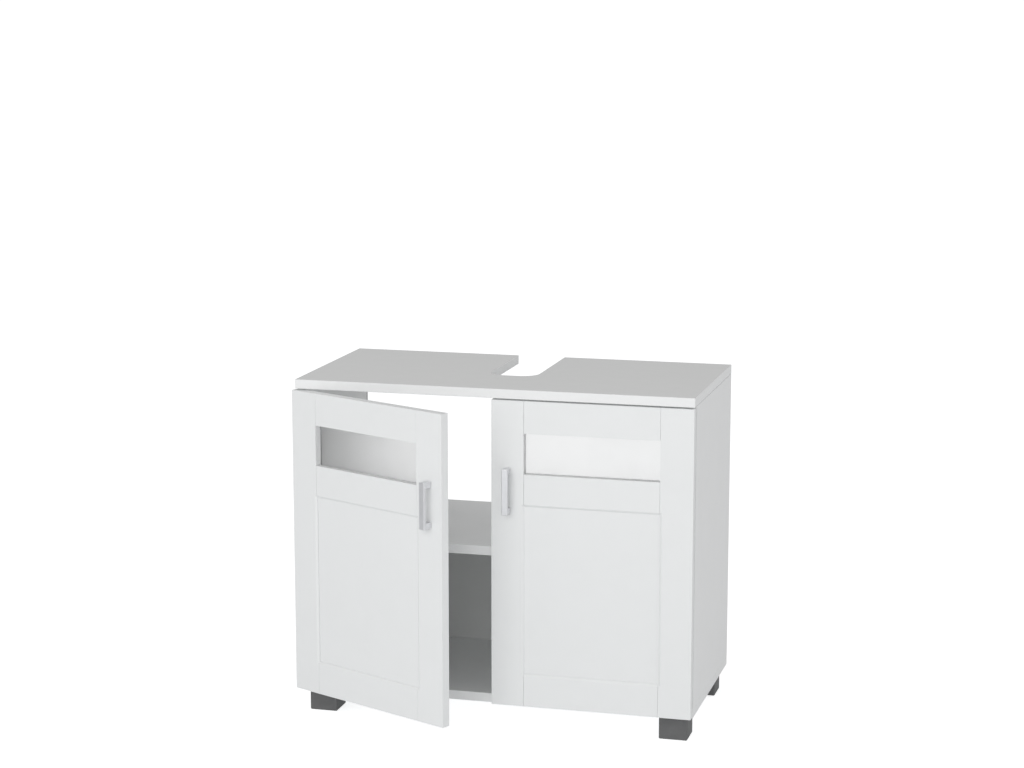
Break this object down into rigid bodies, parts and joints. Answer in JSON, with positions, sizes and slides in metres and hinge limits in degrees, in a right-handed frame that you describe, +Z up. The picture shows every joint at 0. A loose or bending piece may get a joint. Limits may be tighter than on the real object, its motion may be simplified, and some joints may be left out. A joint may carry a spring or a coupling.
{
  "type": "bathroom vanity cabinet",
  "caption": "Low white under-basin cabinet with hinged framed doors, small frosted panes, bow handles, a shelf, square feet and a U-shaped pipe cut-out in the top.",
  "frame": {"origin": "on the floor, in the middle of the box round the whole cabinet with its left door ajar", "axes": "+X to the right seen from the front, +Y from the doors to the wall, +Z up"},
  "size_m": [0.6548, 0.4681, 0.555],
  "materials": {
    "board_foil": "white satin foil on board",
    "door_foil": "white satin foil on board",
    "back_hardboard": "white lacquered hardboard",
    "frosted_glass": "etched, translucent",
    "satin_aluminium": "brushed satin",
    "plated_steel": "nickel plated",
    "zinc": "die-cast zinc",
    "foot_plastic": "dark grey moulded plastic",
    "clear_plastic": "clear moulded plastic"
  },
  "bodies": {
    "carcass": {"back_left_foot": "foot_plastic", "back_panel": "back_hardboard", "back_right_foot": "foot_plastic", "base_board": "board_foil", "front_left_foot": "foot_plastic", "front_right_foot": "foot_plastic", "left_back_shelf_pin": "zinc", "left_front_shelf_pin": "zinc", "left_lower_back_cam_lock": "zinc", "left_lower_front_cam_lock": "zinc", "left_lower_hinge_arm": "plated_steel", "left_lower_hinge_plate": "plated_steel", "left_side_panel": "board_foil", "left_upper_back_cam_lock": "zinc", "left_upper_front_cam_lock": "zinc", "left_upper_hinge_arm": "plated_steel", "left_upper_hinge_plate": "plated_steel", "right_back_shelf_pin": "zinc", "right_front_shelf_pin": "zinc", "right_lower_back_cam_lock": "zinc", "right_lower_front_cam_lock": "zinc", "right_lower_hinge_arm": "plated_steel", "right_lower_hinge_plate": "plated_steel", "right_side_panel": "board_foil", "right_upper_back_cam_lock": "zinc", "right_upper_front_cam_lock": "zinc", "right_upper_hinge_arm": "plated_steel", "right_upper_hinge_plate": "plated_steel", "shelf": "board_foil", "top_board": "board_foil"},
    "left_door": {"left_door_bottom_rail": "door_foil", "left_door_glass": "frosted_glass", "left_door_glass_retainer": "clear_plastic", "left_door_handle": "satin_aluminium", "left_door_handle_stile": "door_foil", "left_door_hinge_stile": "door_foil", "left_door_lower_buffer": "clear_plastic", "left_door_lower_handle_screw": "plated_steel", "left_door_lower_panel": "door_foil", "left_door_middle_rail": "door_foil", "left_door_top_rail": "door_foil", "left_door_upper_buffer": "clear_plastic", "left_door_upper_handle_screw": "plated_steel", "left_lower_hinge_cup": "plated_steel", "left_upper_hinge_cup": "plated_steel"},
    "right_door": {"right_door_bottom_rail": "door_foil", "right_door_glass": "frosted_glass", "right_door_glass_retainer": "clear_plastic", "right_door_handle": "satin_aluminium", "right_door_handle_stile": "door_foil", "right_door_hinge_stile": "door_foil", "right_door_lower_buffer": "clear_plastic", "right_door_lower_handle_screw": "plated_steel", "right_door_lower_panel": "door_foil", "right_door_middle_rail": "door_foil", "right_door_top_rail": "door_foil", "right_door_upper_buffer": "clear_plastic", "right_door_upper_handle_screw": "plated_steel", "right_lower_hinge_cup": "plated_steel", "right_upper_hinge_cup": "plated_steel"}
  },
  "joints": [
    {"name": "left_door_swing", "type": "hinge", "parent": "carcass", "child": "left_door", "pos_m": [-0.3245, -0.07678, 0.29], "axis": [0, 0, -1], "range_deg": [-25.5, 84.5]},
    {"name": "right_door_swing", "type": "hinge", "parent": "carcass", "child": "right_door", "pos_m": [0.3245, -0.07678, 0.29], "axis": [0, 0, 1], "range_deg": [0, 110]}
  ]
}
